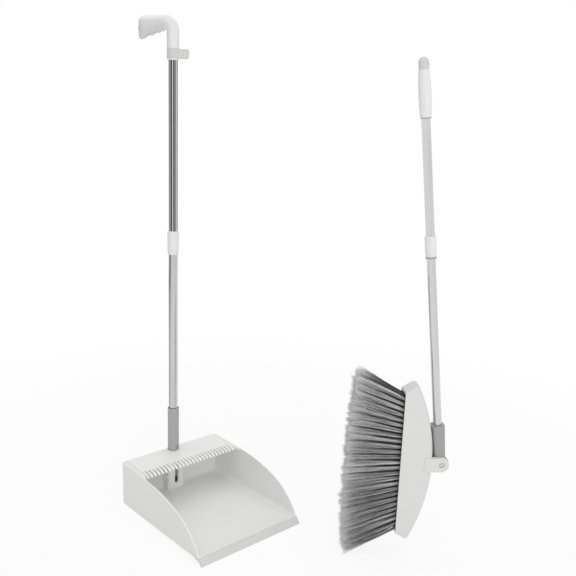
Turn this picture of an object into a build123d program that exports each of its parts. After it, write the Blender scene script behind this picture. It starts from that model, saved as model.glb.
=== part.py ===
"""Long-handled dust pan and broom set.

The pan stands on the floor with its pole on the Z axis, its opening towards -Y and its width along X.
The broom stands in front of it and to its right, head folded up against the pole. Millimetres.
"""

import os
from math import cos, pi, radians, sin, sqrt

from build123d import *

# Steel pole sections: the broom's is the slimmer one
pan_tube_radius = 9.5
broom_tube_radius = 8
tube_wall = 0.7
push_fit = 0.05
plug_length = 90
pan_sleeve_length = 49
broom_sleeve_length = 38
sleeve_wall = 2.25
sleeve_bead = 0.4

# Pan moulding
pan_width = 246
pan_wall = 2.6
rear_y = 13
rear_corner = 10
rim_top_z = 91.6
rim_depth = 5
rim_width = 12
rim_edge_round = 2.2
hood_front_y = -93
shoulder_y = -200
shoulder_z = 76
floor_front_y = -280
floor_front_z = 9.8
foot_front_y = -25
ramp_start_y = -225
ridge_z = 14.2
rear_cove = 14

# Socket boss for the pole, inside the back of the pan
boss_width = 42
boss_front_y = -13
boss_round = 5
socket_radius = 9.2
socket_floor_z = 12
window_width = 9.5
window_bottom_z = 15
window_top_z = 62
window_rim = 2
window_rim_height = 0.8

# Comb hood
hood_thickness = 2.6
hood_proud = 0.8
hood_gap = 0.3
hood_rear_y = 7.5
ledge_width = 5
ledge_front_y = -63
comb_start_y = -53
comb_bend_y = -66
comb_bend_radius = 17
comb_bend_angle = 45
comb_slots = 25
comb_pitch = 8.7
comb_slot_width = 3.9

# Wiper lip
lip_front_y = -291
lip_land = 3
lip_edge = 1
lip_tongue = 12
lip_thickness = 2.2

# Pole of the pan
connector_base_radius = 12.9
connector_radius = 12.2
connector_top_z = 192
connector_socket_z = 104
connector_groove = 0.9
latch_turn = -25
latch_depth = 1.5
latch_z = 101
spigot_radius = 8.5
spigot_bottom_z = 24
pan_joint_z = 560
pan_tube_top_z = 968

# Handle of the pan
handle_angle = 160
stem_radius = 12.2
neck_radius = 10.7
neck_bottom_z = 925.8
neck_top_z = 946
elbow_radius = 16
elbow_centre_z = 980.2
grip_start = 8
grip_end = 66
grip_top_z = 1009.6
grip_top_slope = 0.118
grip_under_z = 984.2
grip_under_slope = 0.412
grip_width = 28
grip_round_start = 57
grip_end_round = 8
finger_ridges = (11, 17.7, 25.5, 39.2, 55.3)
finger_depth = 2.2
hang_slot_width = 6
hang_slot_height = 10
hang_slot_depth = 22

# Storage clip and its retaining ring
clip_gap = 0.3
clip_running_fit = 0.08
retainer_top_z = 927.9
retainer_bottom_z = 924.4
retainer_tip_radius = 10.8
jaw_reach = 24.6
jaw_clearance = 0.1
jaw_wall = 2.8
jaw_mouth_half_angle = 58

# Where the broom stands: the middle of the bristle roots, and which way its pivot pin points
broom_x = 207.4
broom_y = -469.8
broom_z = 189.1
broom_turn = 53.6
fold_angle = 6.9

# Broom head
block_root_half = 145
block_outer_half = 160
block_end_depth = 25
crown_depth = 63
block_thickness = 38
crown_round = 10
block_end_round = 3
pin_depth = 79.6
ear_radius = 14.2
ear_gap = 0.3
ear_proud = 1.2
ear_root_depth = 46
backing_depth = 3
backing_half_length = 141
backing_width = 31
backing_gap = 0.2

# Bristles: strands in rows, flared towards both ends and cut flat on the floor
strand_columns = 60
strand_rows = 6
strand_root_half = 136
strand_row_pitch = 5
strand_flare = 1.375
strand_row_flare = 1.5
strand_length = 102
strand_end_shortening = 8
strand_uneven = 2.5
strand_size = 1.2
strand_set_in = 1.5
floor_cut = 0.5

# Pivot of the broom head
eye_radius = 15.3
eye_thickness = 25
pin_radius = 3
pin_fit = 0.05
bolt_head_radius = 5
bolt_head_height = 2.6
nut_across_flats = 8
nut_height = 3
seat_gap = 0.2

# Broom pole, measured up the pole from the pivot pin
knuckle_neck_width = 21.2
knuckle_top_width = 24.6
knuckle_top = 76
knuckle_round = 6
knuckle_socket = 22
broom_joint = 422
broom_tube_top = 727
grip_bottom = 648
grip_lower_radius = 9.6
grip_belly_radius = 11.3
grip_upper_radius = 9.4
grip_belly = 690
cap_radius = 9
cap_shoulder = 739
cap_top = 748
cap_plug_bottom = 700
cap_hole_radius = 2.25
cap_hole = 735
cap_hole_turn = 60

half_width = pan_width / 2
pan_socket = pan_tube_radius + push_fit
broom_socket = broom_tube_radius + push_fit
rim_floor_z = rim_top_z - rim_depth
hood_top_z = rim_top_z + hood_proud
hood_under_z = hood_top_z - hood_thickness
hood_half = half_width - rim_width
floor_slope = floor_front_z / (floor_front_y - foot_front_y)
grip_axis_z = elbow_centre_z + elbow_radius
on_base = (Align.CENTER, Align.CENTER, Align.MIN)


def keep(piece, name):
    """Labels a finished piece and writes it."""
    piece.part.label = name
    export_step(piece.part, f"parts/{name}.step")


def axial(base):
    """The plane that holds the base plane's Z axis: x is the radius and y the distance along the axis."""
    return Plane(origin=base.origin, x_dir=base.x_dir, z_dir=-base.y_dir)


def turned(base, outline):
    """A turned piece about the base plane's Z axis, from (radius, distance) corners."""
    with BuildPart() as piece:
        with BuildSketch(axial(base)):
            with BuildLine():
                Polyline(*outline, close=True)
            make_face()
        revolve(axis=Axis(base.origin, base.z_dir))
    return piece


def pole_tube(base, radius, bottom, top):
    """A plain steel tube between two distances along the pole."""
    with BuildPart(base.offset(bottom)) as tube:
        Cylinder(radius, top - bottom, align=on_base)
        Cylinder(radius - tube_wall, top - bottom, align=on_base, mode=Mode.SUBTRACT)
    return tube


def joint_plug(base, radius, middle):
    """The inner plug that carries the joint between two tubes, chamfered at both ends."""
    with BuildPart(base.offset(middle - plug_length / 2)) as plug:
        Cylinder(radius - tube_wall - push_fit, plug_length, align=on_base)
        chamfer(plug.edges().filter_by(GeomType.CIRCLE), 1)
    return plug


def joint_sleeve(base, radius, middle, length):
    """The sleeve over a tube joint: a bead at the top and a tapered foot."""
    low = middle - length / 2
    high = middle + length / 2
    bore_radius = radius + push_fit
    sleeve_radius = bore_radius + sleeve_wall
    bead_radius = sleeve_radius + sleeve_bead
    outline = [
        (bore_radius, low),
        (bore_radius + 1, low),
        (sleeve_radius, low + 8),
        (sleeve_radius, high - 5),
        (bead_radius, high - 4),
        (bead_radius, high - 1.5),
        (bore_radius + 1, high),
        (bore_radius, high),
    ]
    return turned(base, outline)


os.makedirs("parts", exist_ok=True)

# Pan body: one side profile across the width, hollowed by its cavity
with BuildPart() as pan_cavity:
    cavity_half = half_width - pan_wall
    inner_rear_y = rear_y - pan_wall
    with BuildSketch(Plane.YZ.offset(-cavity_half)):
        with BuildLine():
            back = FilletPolyline(
                (inner_rear_y, rim_floor_z),
                (inner_rear_y, pan_wall),
                (ramp_start_y, floor_slope * (ramp_start_y - foot_front_y) + pan_wall),
                radius=rear_cove,
            )
            ramp = TangentArc(back @ 1, (floor_front_y, ridge_z), tangent=back % 1)
            Polyline(
                ramp @ 1,
                (lip_front_y, ridge_z + 2),
                (lip_front_y, rim_top_z + rim_depth),
                (hood_front_y, rim_top_z + rim_depth),
                (hood_front_y, rim_floor_z),
                back @ 0,
            )
        make_face()
    extrude(amount=2 * cavity_half)
    # One cove runs down the rear corners and along both sides of the floor
    cove_edges = pan_cavity.edges().filter_by(lambda e: abs(e.center().X) > cavity_half - 0.01)
    cove_edges = cove_edges.filter_by(lambda e: e.center().Y > floor_front_y and e.center().Z < rim_floor_z - 1)
    fillet(cove_edges, rear_corner - pan_wall)

with BuildPart() as pan_body:
    with BuildSketch(Plane.YZ.offset(-half_width)):
        with BuildLine():
            rim = Line((rear_y, rim_top_z), (hood_front_y, rim_top_z))
            shoulder = TangentArc(rim @ 1, (shoulder_y, shoulder_z), tangent=rim % 1)
            nose = TangentArc(shoulder @ 1, (floor_front_y, ridge_z), tangent=shoulder % 1)
            Polyline(nose @ 1, (floor_front_y, floor_front_z), (foot_front_y, 0), (rear_y, 0), rim @ 0)
        make_face()
    extrude(amount=pan_width)
    fillet(pan_body.edges().filter_by(Axis.Z).group_by(Axis.Y)[-1], rear_corner)
    rim_edges = pan_body.faces().filter_by(Axis.Z).sort_by(Axis.Z)[-1].edges()
    nose_edges = pan_body.edges().filter_by(GeomType.CIRCLE).filter_by(lambda e: e.length > 2 * rear_corner)
    rim_edges = rim_edges.filter_by(lambda e: e.center().Y > hood_front_y + 1)
    fillet(rim_edges + nose_edges, rim_edge_round)
    add(pan_cavity.part, mode=Mode.SUBTRACT)
    # The hood's opening: through the rims, then the ledge that the panel lies on, then free of the bent comb
    with BuildSketch(Plane.XY.offset(rim_floor_z)):
        through_rear_y = hood_rear_y - ledge_width
        with Locations((0, through_rear_y)):
            Rectangle(
                2 * (hood_half - ledge_width),
                through_rear_y - hood_front_y,
                align=(Align.CENTER, Align.MAX),
            )
        with Locations((0, ledge_front_y)):
            Rectangle(2 * hood_half, ledge_front_y - hood_front_y, align=(Align.CENTER, Align.MAX))
    extrude(amount=2 * rim_depth, mode=Mode.SUBTRACT)
    with BuildSketch(Plane.XY.offset(hood_under_z)):
        with Locations((0, hood_rear_y)):
            Rectangle(2 * hood_half, hood_rear_y - hood_front_y, align=(Align.CENTER, Align.MAX))
    extrude(amount=rim_depth, mode=Mode.SUBTRACT)
    # The rims narrow into the side walls in front of the ledge
    with BuildSketch(Plane.XY.offset(rim_floor_z)):
        for side in (1, -1):
            with BuildLine():
                taper = Spline(
                    (side * hood_half, ledge_front_y),
                    (side * cavity_half, hood_front_y),
                    tangents=((0, -1), (0, -1)),
                )
                Polyline(taper @ 1, (side * hood_half, hood_front_y), taper @ 0)
            make_face()
    extrude(amount=2 * rim_depth, mode=Mode.SUBTRACT)
    # The socket boss, its bore and its window
    with BuildSketch(Plane.XY):
        with Locations((0, boss_front_y)):
            RectangleRounded(
                boss_width,
                rear_y - 1 - boss_front_y + boss_round,
                boss_round,
                align=(Align.CENTER, Align.MIN),
            )
        with Locations((0, rear_y - 1)):
            Rectangle(boss_width, 2 * boss_round, align=(Align.CENTER, Align.MIN), mode=Mode.SUBTRACT)
    extrude(amount=hood_under_z)
    with BuildSketch(Plane.XY.offset(socket_floor_z)):
        Circle(socket_radius)
    extrude(amount=rim_top_z, mode=Mode.SUBTRACT)
    window_height = window_top_z - window_bottom_z
    with BuildSketch(Plane.XZ.offset(-boss_front_y)):
        with Locations((0, (window_bottom_z + window_top_z) / 2)):
            SlotOverall(window_height + 2 * window_rim, window_width + 2 * window_rim, rotation=90)
    extrude(amount=window_rim_height)
    with BuildSketch(Plane.XZ.offset(window_rim_height - boss_front_y)):
        with Locations((0, (window_bottom_z + window_top_z) / 2)):
            SlotOverall(window_height, window_width, rotation=90)
    extrude(amount=boss_front_y - window_rim_height, mode=Mode.SUBTRACT)
keep(pan_body, "pan_body")

# Comb hood: a flat panel that bends down at the front, slotted into teeth
with BuildPart() as comb_hood:
    panel_half = hood_half - hood_gap
    bend_centre = (comb_bend_y, hood_top_z - comb_bend_radius)
    panel_rear_y = hood_rear_y - hood_gap
    with BuildSketch(Plane.YZ.offset(-panel_half)):
        with BuildLine():
            outer_bend = CenterArc(bend_centre, comb_bend_radius, 90, comb_bend_angle)
            inner_bend = CenterArc(bend_centre, comb_bend_radius - hood_thickness, 90, comb_bend_angle)
            Line(outer_bend @ 1, inner_bend @ 1)
            Polyline(inner_bend @ 0, (panel_rear_y, hood_under_z), (panel_rear_y, hood_top_z), outer_bend @ 0)
        make_face()
    extrude(amount=2 * panel_half)
    tooth_tips = comb_hood.faces().sort_by(Axis.Y)[0].edges().filter_by(Axis.X)
    fillet(tooth_tips, hood_thickness / 2 - 0.1)
    with BuildSketch(Plane.XY.offset(hood_top_z)):
        with Locations((0, hood_front_y)):
            with GridLocations(comb_pitch, 1, comb_slots, 1):
                SlotOverall(2 * (comb_start_y - hood_front_y), comb_slot_width, rotation=90)
        Circle(socket_radius + 0.1)
    extrude(amount=-comb_bend_radius, mode=Mode.SUBTRACT)
keep(comb_hood, "comb_hood")

# Wiper lip: hooked under the floor's front edge and turned down to the ground
with BuildPart() as lip_strip:
    tongue_y = floor_front_y + lip_tongue
    tongue_z = floor_front_z + floor_slope * lip_tongue
    with BuildSketch(Plane.YZ.offset(-half_width)):
        with BuildLine():
            Polyline(
                (floor_front_y, ridge_z),
                (lip_front_y, lip_edge),
                (lip_front_y, 0),
                (lip_front_y + lip_land, 0),
                (floor_front_y - 1, floor_front_z - lip_thickness),
                (tongue_y, tongue_z - lip_thickness),
                (tongue_y, tongue_z),
                (floor_front_y, floor_front_z),
                close=True,
            )
        make_face()
    extrude(amount=pan_width)
    ridge_edge = lip_strip.edges().filter_by(Axis.X).sort_by(Axis.Z)[-1]
    fillet(ridge_edge, 1)
keep(lip_strip, "lip_strip")

# Pole of the pan, from the screw connector up
pan_pole = Plane.XY
connector_body = turned(
    pan_pole,
    [
        (0, spigot_bottom_z),
        (spigot_radius - 1, spigot_bottom_z),
        (spigot_radius, spigot_bottom_z + 1),
        (spigot_radius, hood_top_z),
        (connector_base_radius, hood_top_z),
        (connector_base_radius, hood_top_z + 2.5),
        (connector_radius - connector_groove, hood_top_z + 3),
        (connector_radius - connector_groove, hood_top_z + 4.2),
        (connector_radius, hood_top_z + 4.8),
        (connector_radius, connector_top_z - 1),
        (connector_radius - 1, connector_top_z),
        (pan_socket, connector_top_z),
        (pan_socket, connector_socket_z),
        (0, connector_socket_z),
    ],
)
latch_direction = Vector(1, 0, 0).rotate(Axis.Z, latch_turn)
latch_middle = latch_direction * (connector_radius - latch_depth) + Vector(0, 0, latch_z)
latch_plane = Plane(origin=latch_middle, x_dir=Vector(0, 0, 1).cross(latch_direction), z_dir=latch_direction)
with BuildPart() as pole_connector:
    add(connector_body.part)
    with BuildSketch(latch_plane):
        with Locations((0, 2)):
            Rectangle(8, 2.4)
        with Locations((2.8, -1)):
            Rectangle(2.4, 7)
    extrude(amount=2 * latch_depth, mode=Mode.SUBTRACT)
keep(pole_connector, "pole_connector")
keep(pole_tube(pan_pole, pan_tube_radius, connector_socket_z, pan_joint_z), "pan_lower_tube")
keep(joint_plug(pan_pole, pan_tube_radius, pan_joint_z), "pan_joint_plug")
keep(joint_sleeve(pan_pole, pan_tube_radius, pan_joint_z, pan_sleeve_length), "pan_pole_sleeve")
keep(pole_tube(pan_pole, pan_tube_radius, pan_joint_z, pan_tube_top_z), "pan_upper_tube")

# L-shaped handle: a swept stem and elbow, and a grip lofted out to its thick end
handle_direction = Vector(1, 0, 0).rotate(Axis.Z, handle_angle)
handle_plane = Plane(origin=(0, 0, 0), x_dir=handle_direction, z_dir=handle_direction.cross(Vector(0, 0, 1)))
grip_plane = Plane(origin=(0, 0, grip_axis_z), x_dir=-handle_plane.z_dir, z_dir=handle_direction)
grip_places = [grip_start + 2 * step for step in range(25)] + [58, 60, 62, 63.6, 64.8, 65.6, grip_end]


def grip_section(place):
    """Middle height, half height and half width of the grip at a distance from the pole's axis."""
    high = grip_top_z - grip_top_slope * place
    if place < elbow_radius:
        elbow_top = elbow_centre_z + sqrt((elbow_radius + stem_radius) ** 2 - (elbow_radius - place) ** 2)
        high = min(high, elbow_top - 0.3)
    low = grip_under_z - grip_under_slope * place
    for ridge, following in zip(finger_ridges, finger_ridges[1:]):
        if ridge < place < following:
            low += finger_depth * (1 - cos(2 * pi * (place - ridge) / (following - ridge))) / 2
    past = max(0, place - grip_round_start) / (grip_end - grip_round_start)
    shrink = grip_end_round * (1 - sqrt(1 - (0.97 * past) ** 2))
    narrowing = grip_width / 2 - stem_radius + 0.2
    breadth = grip_width / 2 - narrowing * max(0, 1 - (place - grip_start) / 20)
    return (high + low) / 2, (high - low) / 2 - shrink, breadth - shrink


with BuildPart() as l_handle:
    with BuildLine(handle_plane) as stem_path:
        stem = Line((0, neck_top_z), (0, elbow_centre_z))
        RadiusArc(stem @ 1, (elbow_radius, grip_axis_z), elbow_radius)
    with BuildSketch(Plane.XY.offset(neck_top_z)):
        Circle(stem_radius)
    sweep(path=stem_path.wire())
    for place in grip_places:
        middle, half_height, half_breadth = grip_section(place)
        with BuildSketch(grip_plane.offset(place)):
            with Locations((0, middle - grip_axis_z)):
                Ellipse(half_breadth, half_height)
    loft(ruled=True)
    with BuildSketch(grip_plane.offset(grip_end)):
        with Locations((0, grip_section(grip_end)[0] - grip_axis_z)):
            SlotOverall(hang_slot_height, hang_slot_width, rotation=90)
    extrude(amount=-hang_slot_depth, mode=Mode.SUBTRACT)
    with BuildSketch(Plane.XY.offset(neck_bottom_z)):
        Circle(neck_radius)
    extrude(amount=neck_top_z - neck_bottom_z)
    with BuildSketch(Plane.XY.offset(neck_bottom_z)):
        Circle(pan_socket)
    extrude(amount=pan_tube_top_z - neck_bottom_z, mode=Mode.SUBTRACT)
keep(l_handle, "l_handle")

clip_retainer = turned(
    pan_pole,
    [
        (pan_socket, retainer_bottom_z),
        (retainer_tip_radius, retainer_bottom_z),
        (stem_radius, retainer_top_z - 2),
        (stem_radius, retainer_top_z),
        (neck_radius + push_fit, retainer_top_z),
        (neck_radius + push_fit, neck_bottom_z),
        (pan_socket, neck_bottom_z),
    ],
)
keep(clip_retainer, "clip_retainer")

# Storage clip: a ring on the handle's neck and a C-shaped jaw on the side away from the grip
jaw_radius = broom_tube_radius + jaw_clearance
jaw_outer = jaw_radius + jaw_wall
clip_plane = Plane(origin=(0, 0, retainer_top_z + clip_gap), x_dir=-handle_direction, z_dir=(0, 0, 1))
with BuildPart() as storage_clip:
    with BuildSketch(clip_plane):
        Circle(stem_radius)
        Rectangle(jaw_reach, 2 * jaw_outer - 4, align=(Align.MIN, Align.CENTER))
        with Locations((jaw_reach, 0)):
            Circle(jaw_outer)
        mouth_length = 2 * jaw_outer
        mouth_half = mouth_length * sin(radians(jaw_mouth_half_angle))
        mouth_end = jaw_reach + mouth_length * cos(radians(jaw_mouth_half_angle))
        with BuildLine():
            Polyline((jaw_reach, 0), (mouth_end, -mouth_half), (mouth_end, mouth_half), close=True)
        make_face(mode=Mode.SUBTRACT)
        with Locations((jaw_reach, 0)):
            Circle(jaw_radius, mode=Mode.SUBTRACT)
        Circle(neck_radius + clip_running_fit, mode=Mode.SUBTRACT)
    extrude(amount=neck_top_z - retainer_top_z - 2 * clip_gap)
    jaw_tips = storage_clip.edges().filter_by(Axis.Z).sort_by(Axis((0, 0, 0), -handle_direction))[-2:]
    fillet(jaw_tips, 0.9)
keep(storage_clip, "storage_clip")

# Broom: the head stands upright, x from the bristle roots to the crown and y up; the pole leans back over it
pin_direction = Vector(1, 0, 0).rotate(Axis.Z, broom_turn)
crown_direction = pin_direction.cross(Vector(0, 0, 1))
head_plane = Plane(origin=(broom_x, broom_y, broom_z), x_dir=crown_direction, z_dir=-pin_direction)
pivot = head_plane.from_local_coords(Vector(pin_depth, 0, 0))
pole_direction = Vector(0, 0, 1).rotate(Axis((0, 0, 0), -pin_direction), fold_angle)
broom_pole = Plane(origin=pivot, x_dir=pin_direction, z_dir=pole_direction)
knuckle_plane = Plane(origin=pivot, x_dir=pole_direction.cross(-pin_direction), z_dir=-pin_direction)

with BuildPart() as head_block:
    half_thickness = block_thickness / 2
    ear_inner = eye_thickness / 2 + ear_gap
    ear_outer = half_thickness + ear_proud
    with BuildSketch(head_plane.offset(-half_thickness)):
        with BuildLine():
            roots = Line((0, -block_root_half), (0, block_root_half))
            upper_end = Line(roots @ 1, (block_end_depth, block_outer_half))
            crown = ThreePointArc(upper_end @ 1, (crown_depth, 0), (block_end_depth, -block_outer_half))
            Line(crown @ 1, roots @ 0)
        make_face()
    extrude(amount=block_thickness)
    crown_edges = head_block.edges().filter_by(GeomType.CIRCLE)
    fillet(crown_edges, crown_round)
    end_edges = head_block.edges().filter_by(Axis(pivot, pin_direction))
    fillet(end_edges, block_end_round)
    for side in (1, -1):
        ear_plane = head_plane.offset(side * ear_inner)
        with BuildSketch(ear_plane):
            with Locations((pin_depth, 0)):
                Circle(ear_radius)
            with Locations((ear_root_depth, 0)):
                Rectangle(pin_depth - ear_root_depth, 2 * ear_radius, align=(Align.MIN, Align.CENTER))
            with Locations((pin_depth, 0)):
                Circle(pin_radius + pin_fit, mode=Mode.SUBTRACT)
        extrude(amount=side * (ear_outer - ear_inner))
    with BuildSketch(head_plane.offset(ear_outer)):
        with Locations((pin_depth, 0)):
            Circle(bolt_head_radius + seat_gap)
    extrude(amount=-bolt_head_height, mode=Mode.SUBTRACT)
    with BuildSketch(head_plane.offset(-ear_outer)):
        with Locations((pin_depth, 0)):
            RegularPolygon(nut_across_flats / 2 + seat_gap, 6, major_radius=False)
    extrude(amount=nut_height, mode=Mode.SUBTRACT)
    backing_plane = Plane(origin=head_plane.origin, x_dir=pin_direction, z_dir=crown_direction)
    with BuildSketch(backing_plane):
        Rectangle(backing_width + 2 * backing_gap, 2 * (backing_half_length + backing_gap))
    extrude(amount=backing_depth, mode=Mode.SUBTRACT)
keep(head_block, "head_block")

# Bristles: each strand runs from its root to its flared tip, and all are fused with the backing at once
strand_cells = strand_columns - 1
strands = []
for row in range(strand_rows):
    across = (row - (strand_rows - 1) / 2) * strand_row_pitch
    stagger = 0.25 if row % 2 else -0.25
    for column in range(strand_columns):
        share = 2 * (column + stagger) / strand_cells - 1
        uneven = strand_uneven * sin(7.3 * column + 2.9 * row)
        reach = strand_length - strand_end_shortening * share**2 + uneven
        root = Vector(across, share * strand_root_half, strand_set_in)
        tip = Vector(across * strand_row_flare, share * strand_root_half * strand_flare, -reach)
        root = backing_plane.from_local_coords(root)
        tip = backing_plane.from_local_coords(tip)
        along = tip - root
        with BuildSketch(Plane(origin=root, x_dir=pin_direction, z_dir=along)) as section:
            RegularPolygon(strand_size, 4)
        strands.append(extrude(section.sketch, amount=along.length, mode=Mode.PRIVATE))

with BuildPart() as bristles:
    with BuildSketch(backing_plane):
        Rectangle(backing_width, 2 * backing_half_length)
    extrude(amount=backing_depth)
    add(strands)
    with BuildSketch(Plane.XY.offset(-10 * floor_cut)):
        with Locations((broom_x, broom_y)):
            Rectangle(4 * strand_length, 4 * strand_length)
    extrude(amount=10 * floor_cut, mode=Mode.SUBTRACT)
keep(bristles, "bristles")
print("strands", len(strands), "lowest tip", round(min(s.bounding_box().min.Z for s in strands), 2))

# Pivot bolt and nut
with BuildPart() as pivot_bolt:
    with BuildSketch(head_plane.offset(-ear_outer)):
        with Locations((pin_depth, 0)):
            Circle(pin_radius)
    extrude(amount=2 * ear_outer - bolt_head_height)
    with BuildSketch(head_plane.offset(ear_outer - bolt_head_height)):
        with Locations((pin_depth, 0)):
            Circle(bolt_head_radius)
    extrude(amount=bolt_head_height)
    fillet(pivot_bolt.edges().filter_by(GeomType.CIRCLE).sort_by(Axis(pivot, -pin_direction))[-1], 1.2)
keep(pivot_bolt, "pivot_bolt")

with BuildPart() as pivot_nut:
    with BuildSketch(head_plane.offset(-ear_outer)):
        with Locations((pin_depth, 0)):
            RegularPolygon(nut_across_flats / 2, 6, major_radius=False)
            Circle(pin_radius + push_fit, mode=Mode.SUBTRACT)
    extrude(amount=nut_height)
keep(pivot_nut, "pivot_nut")

# Knuckle: the eye of the pivot and a tapered neck that holds the pole
with BuildPart() as knuckle:
    with BuildSketch(knuckle_plane.offset(-eye_thickness / 2)):
        with BuildLine():
            Polyline(
                (-knuckle_neck_width / 2, 0),
                (knuckle_neck_width / 2, 0),
                (knuckle_top_width / 2, knuckle_top),
                (-knuckle_top_width / 2, knuckle_top),
                close=True,
            )
        make_face()
    extrude(amount=eye_thickness)
    neck_edges = knuckle.edges().filter_by(lambda e: e.length > knuckle_top - 1)
    fillet(neck_edges, knuckle_round)
    with BuildSketch(knuckle_plane.offset(-eye_thickness / 2)):
        Circle(eye_radius)
    extrude(amount=eye_thickness)
    with BuildSketch(broom_pole.offset(knuckle_socket)):
        Circle(broom_socket)
    extrude(amount=knuckle_top, mode=Mode.SUBTRACT)
    with BuildSketch(knuckle_plane.offset(-eye_thickness)):
        Circle(pin_radius + pin_fit)
    extrude(amount=2 * eye_thickness, mode=Mode.SUBTRACT)
keep(knuckle, "knuckle")

# Broom pole above the knuckle
keep(pole_tube(broom_pole, broom_tube_radius, knuckle_socket, broom_joint), "broom_lower_tube")
keep(joint_plug(broom_pole, broom_tube_radius, broom_joint), "broom_joint_plug")
keep(joint_sleeve(broom_pole, broom_tube_radius, broom_joint, broom_sleeve_length), "broom_pole_sleeve")
keep(pole_tube(broom_pole, broom_tube_radius, broom_joint, broom_tube_top), "broom_upper_tube")

with BuildPart() as broom_grip:
    with BuildSketch(axial(broom_pole)):
        with BuildLine():
            belly = ThreePointArc(
                (grip_lower_radius, grip_bottom),
                (grip_belly_radius, grip_belly),
                (grip_upper_radius, broom_tube_top),
            )
            Polyline(belly @ 1, (broom_socket, broom_tube_top), (broom_socket, grip_bottom), belly @ 0)
        make_face()
    revolve(axis=Axis(broom_pole.origin, pole_direction))
keep(broom_grip, "broom_grip")

with BuildPart() as end_cap:
    plug_radius = broom_tube_radius - tube_wall - push_fit
    with BuildSketch(axial(broom_pole)):
        with BuildLine():
            side = Line((cap_radius, broom_tube_top), (cap_radius, cap_shoulder))
            dome = TangentArc(side @ 1, (0, cap_top), tangent=side % 1)
            Polyline(
                dome @ 1,
                (0, cap_plug_bottom),
                (plug_radius, cap_plug_bottom),
                (plug_radius, broom_tube_top),
                side @ 0,
            )
        make_face()
    revolve(axis=Axis(broom_pole.origin, pole_direction))
    hole_direction = pin_direction.rotate(Axis((0, 0, 0), pole_direction), cap_hole_turn)
    hole_middle = broom_pole.from_local_coords(Vector(0, 0, cap_hole))
    with BuildSketch(Plane(origin=hole_middle, x_dir=pole_direction, z_dir=hole_direction)):
        Circle(cap_hole_radius)
    extrude(amount=2 * cap_radius, both=True, mode=Mode.SUBTRACT)
keep(end_cap, "end_cap")
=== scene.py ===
"""Looks of the dust pan and brush set: its finishes, bristles, small forms, studio and camera."""

import math

import bmesh
import bpy
from mathutils import Matrix, Vector


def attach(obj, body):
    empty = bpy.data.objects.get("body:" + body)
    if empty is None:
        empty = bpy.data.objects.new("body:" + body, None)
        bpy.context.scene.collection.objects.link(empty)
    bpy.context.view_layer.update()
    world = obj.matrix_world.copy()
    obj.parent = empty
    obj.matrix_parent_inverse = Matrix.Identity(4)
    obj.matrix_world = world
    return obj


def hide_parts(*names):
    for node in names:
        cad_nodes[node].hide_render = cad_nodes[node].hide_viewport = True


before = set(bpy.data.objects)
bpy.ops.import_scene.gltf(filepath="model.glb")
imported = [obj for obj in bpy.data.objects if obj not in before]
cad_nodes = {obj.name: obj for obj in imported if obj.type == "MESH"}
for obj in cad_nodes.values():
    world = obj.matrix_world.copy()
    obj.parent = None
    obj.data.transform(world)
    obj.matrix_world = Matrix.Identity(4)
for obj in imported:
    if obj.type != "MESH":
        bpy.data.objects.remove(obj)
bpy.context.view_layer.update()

MM = 0.001
UPWARD = Vector((0, 0, 1))
WHITE = (1.0, 1.0, 1.0, 1.0)

# The broom's head: the middle of the bristle roots, and the ways that its pin and its crown point
HEAD_MIDDLE = Vector((207.4, -469.8, 189.1)) * MM
BROOM_TURN = math.radians(53.6)
PIN_DIRECTION = Vector((math.cos(BROOM_TURN), math.sin(BROOM_TURN), 0))
CROWN_DIRECTION = PIN_DIRECTION.cross(UPWARD)
# The pin's distance from the roots, and an ear's outer face from the head's middle
PIN_DEPTH = 79.6 * MM
EAR_OUTER = 20.2 * MM
PIVOT = HEAD_MIDDLE + CROWN_DIRECTION * PIN_DEPTH

# The broom's pole rises from the pivot, leaning a little towards the folded head; lengths count from there
FOLD_ANGLE = math.radians(6.9)
POLE_DIRECTION = Vector((0, 0, math.cos(FOLD_ANGLE))) - CROWN_DIRECTION * math.sin(FOLD_ANGLE)
BROOM_TUBE_RADIUS = 8 * MM
BROOM_SLEEVE_BOTTOM = 403 * MM
BROOM_GRIP_BOTTOM = 648 * MM

# The pan's pole stands over the origin
PAN_TUBE_RADIUS = 9.5 * MM
CONNECTOR_TOP = 192 * MM

# The L-handle's grip: the way that it points, its top and the fall of the top, and its end
HANDLE_ANGLE = math.radians(160)
HANDLE_DIRECTION = Vector((math.cos(HANDLE_ANGLE), math.sin(HANDLE_ANGLE), 0))
GRIP_TOP = 1009.6 * MM
GRIP_TOP_SLOPE = 0.118
GRIP_END = 66 * MM
GRIP_END_MIDDLE = 979.4 * MM
# The grip's painted shade, a greyer zone, fades in along the handle, and downwards from its top, which stays
# lighter
GRIP_SHADE_START = 6 * MM
GRIP_SHADE_FULL = 26 * MM
GRIP_SHADE_TOP_START = GRIP_TOP - 1 * MM
GRIP_SHADE_TOP_FULL = GRIP_TOP - 13 * MM

# Moulded plastic: its faint clouds, the part of their range that sways the gloss and how far, and its grain
CLOUD_SIZE = 38 * MM
CLOUD_LOW = 0.3
CLOUD_HIGH = 0.7
GLOSS_SWAY = 0.04
GRAIN_STRENGTH = 0.35
GRAIN_HEIGHT = 0.02 * MM
FINE_GRAIN_HEIGHT = 0.008 * MM
PLASTIC_IOR = 1.49

# Drawn steel: the share of a point's height that its pattern leaves out, and how the lines sway the gloss
LINE_STRETCH = 0.988
LINE_GLOSS_LOW = 0.8
LINE_GLOSS_HIGH = 1.2

# Filament shades along the length, from the root at 0 to the tip at 1, darker at the root as painted shade
# where the tufts stand close, and across the locks
ROOT_SHADE = "B0B0B0"
MIDDLE_SHADES = ((0.12, "EEEEEE"), (0.55, "F4F4F4"), (0.85, "FAFAFA"))
TIP_SHADE = "FFFFFF"
DARK_LOCK = "484848"
PALE_LOCK = "F8F8F8"
# Inner rows keep this share of their tone, and come into the light towards the tip by this power
SHADED_SHARE = 0.08
LIGHT_POWER = 4.0
# A filament's own tone is widened and raised
TONE_GAIN = 1.35
TONE_RAISE = 0.05
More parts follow.
